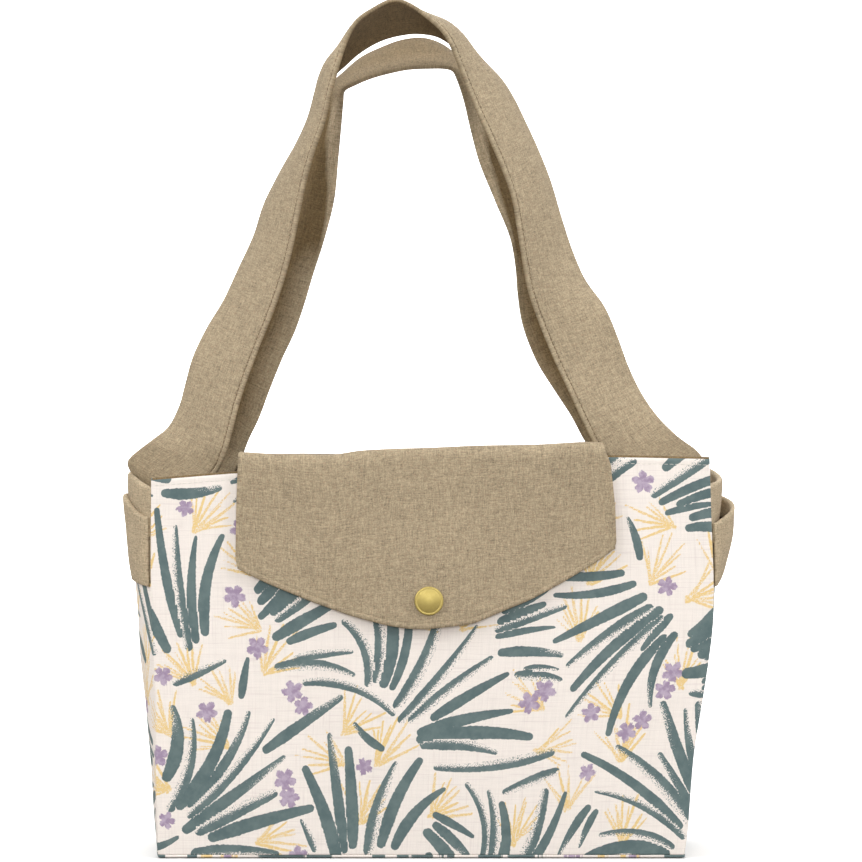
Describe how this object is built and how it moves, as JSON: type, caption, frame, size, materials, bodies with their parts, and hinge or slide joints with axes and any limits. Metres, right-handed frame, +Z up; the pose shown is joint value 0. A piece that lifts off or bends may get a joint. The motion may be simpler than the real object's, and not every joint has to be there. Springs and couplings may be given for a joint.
{
  "type": "garden tool bag",
  "caption": "Boxy sewn cloth tote for small garden tools, with two shoulder handles, a snap-closed flap and an open pocket on each end.",
  "frame": {"origin": "centre of the base, on the ground", "axes": "+Z up, -Y towards the front with the flap and snap, +X to the right when looking at the front"},
  "size_m": [0.3376, 0.0922, 0.4664],
  "materials": {
    "linen": "plain heathered linen, matt",
    "printed_cloth": "off-white slub cotton-linen with a painted foliage print, matt",
    "lining_cloth": "plain off-white cotton, matt",
    "brass": "satin pressed brass"
  },
  "bodies": {
    "bag": {"front_panel": "printed_cloth", "back_panel": "printed_cloth", "left_gusset": "printed_cloth", "right_gusset": "printed_cloth", "left_gusset_yoke": "linen", "right_gusset_yoke": "linen", "left_lining": "lining_cloth", "right_lining": "lining_cloth", "front_lining": "lining_cloth", "back_lining": "lining_cloth", "base_panel": "printed_cloth", "base_lining": "lining_cloth", "front_hem_facing": "printed_cloth", "back_hem_facing": "linen", "left_pocket": "linen", "right_pocket": "linen", "front_handle_left_end": "linen", "front_handle_right_end": "linen", "back_handle_left_end": "linen", "back_handle_right_end": "linen", "flap_seam": "linen", "snap_stud": "brass", "snap_post_washer": "brass"},
    "front_handle": {"front_handle": "linen"},
    "back_handle": {"back_handle": "linen"},
    "flap_top": {"flap_top": "linen", "flap_top_lining": "lining_cloth"},
    "flap_drop": {"flap_drop": "linen", "flap_drop_lining": "lining_cloth", "snap_cap": "brass", "snap_socket": "brass"}
  },
  "joints": [
    {"name": "front_handle_fold", "type": "hinge", "parent": "bag", "child": "front_handle", "pos_m": [0, -0.038, 0.2215], "axis": [1, 0, 0], "range_deg": [0, 150], "stiffness_Nm_per_rad": 0.3},
    {"name": "back_handle_fold", "type": "hinge", "parent": "bag", "child": "back_handle", "pos_m": [0, 0.0385, 0.2165], "axis": [-1, 0, 0], "range_deg": [0, 150], "stiffness_Nm_per_rad": 0.3},
    {"name": "flap_open", "type": "hinge", "parent": "bag", "child": "flap_top", "pos_m": [0, 0.0422, 0.2125], "axis": [-1, 0, 0], "range_deg": [0, 250], "deforming": ["flap_top", "flap_top_lining", "flap_drop", "flap_drop_lining"]},
    {"name": "flap_fold", "type": "hinge", "parent": "flap_top", "child": "flap_drop", "pos_m": [0, -0.0405, 0.22], "axis": [-1, 0, 0], "range_deg": [0, 110]}
  ],
  "couplings": [
    {"joint": "flap_fold", "follows": "flap_open", "ratio": 0.44}
  ]
}
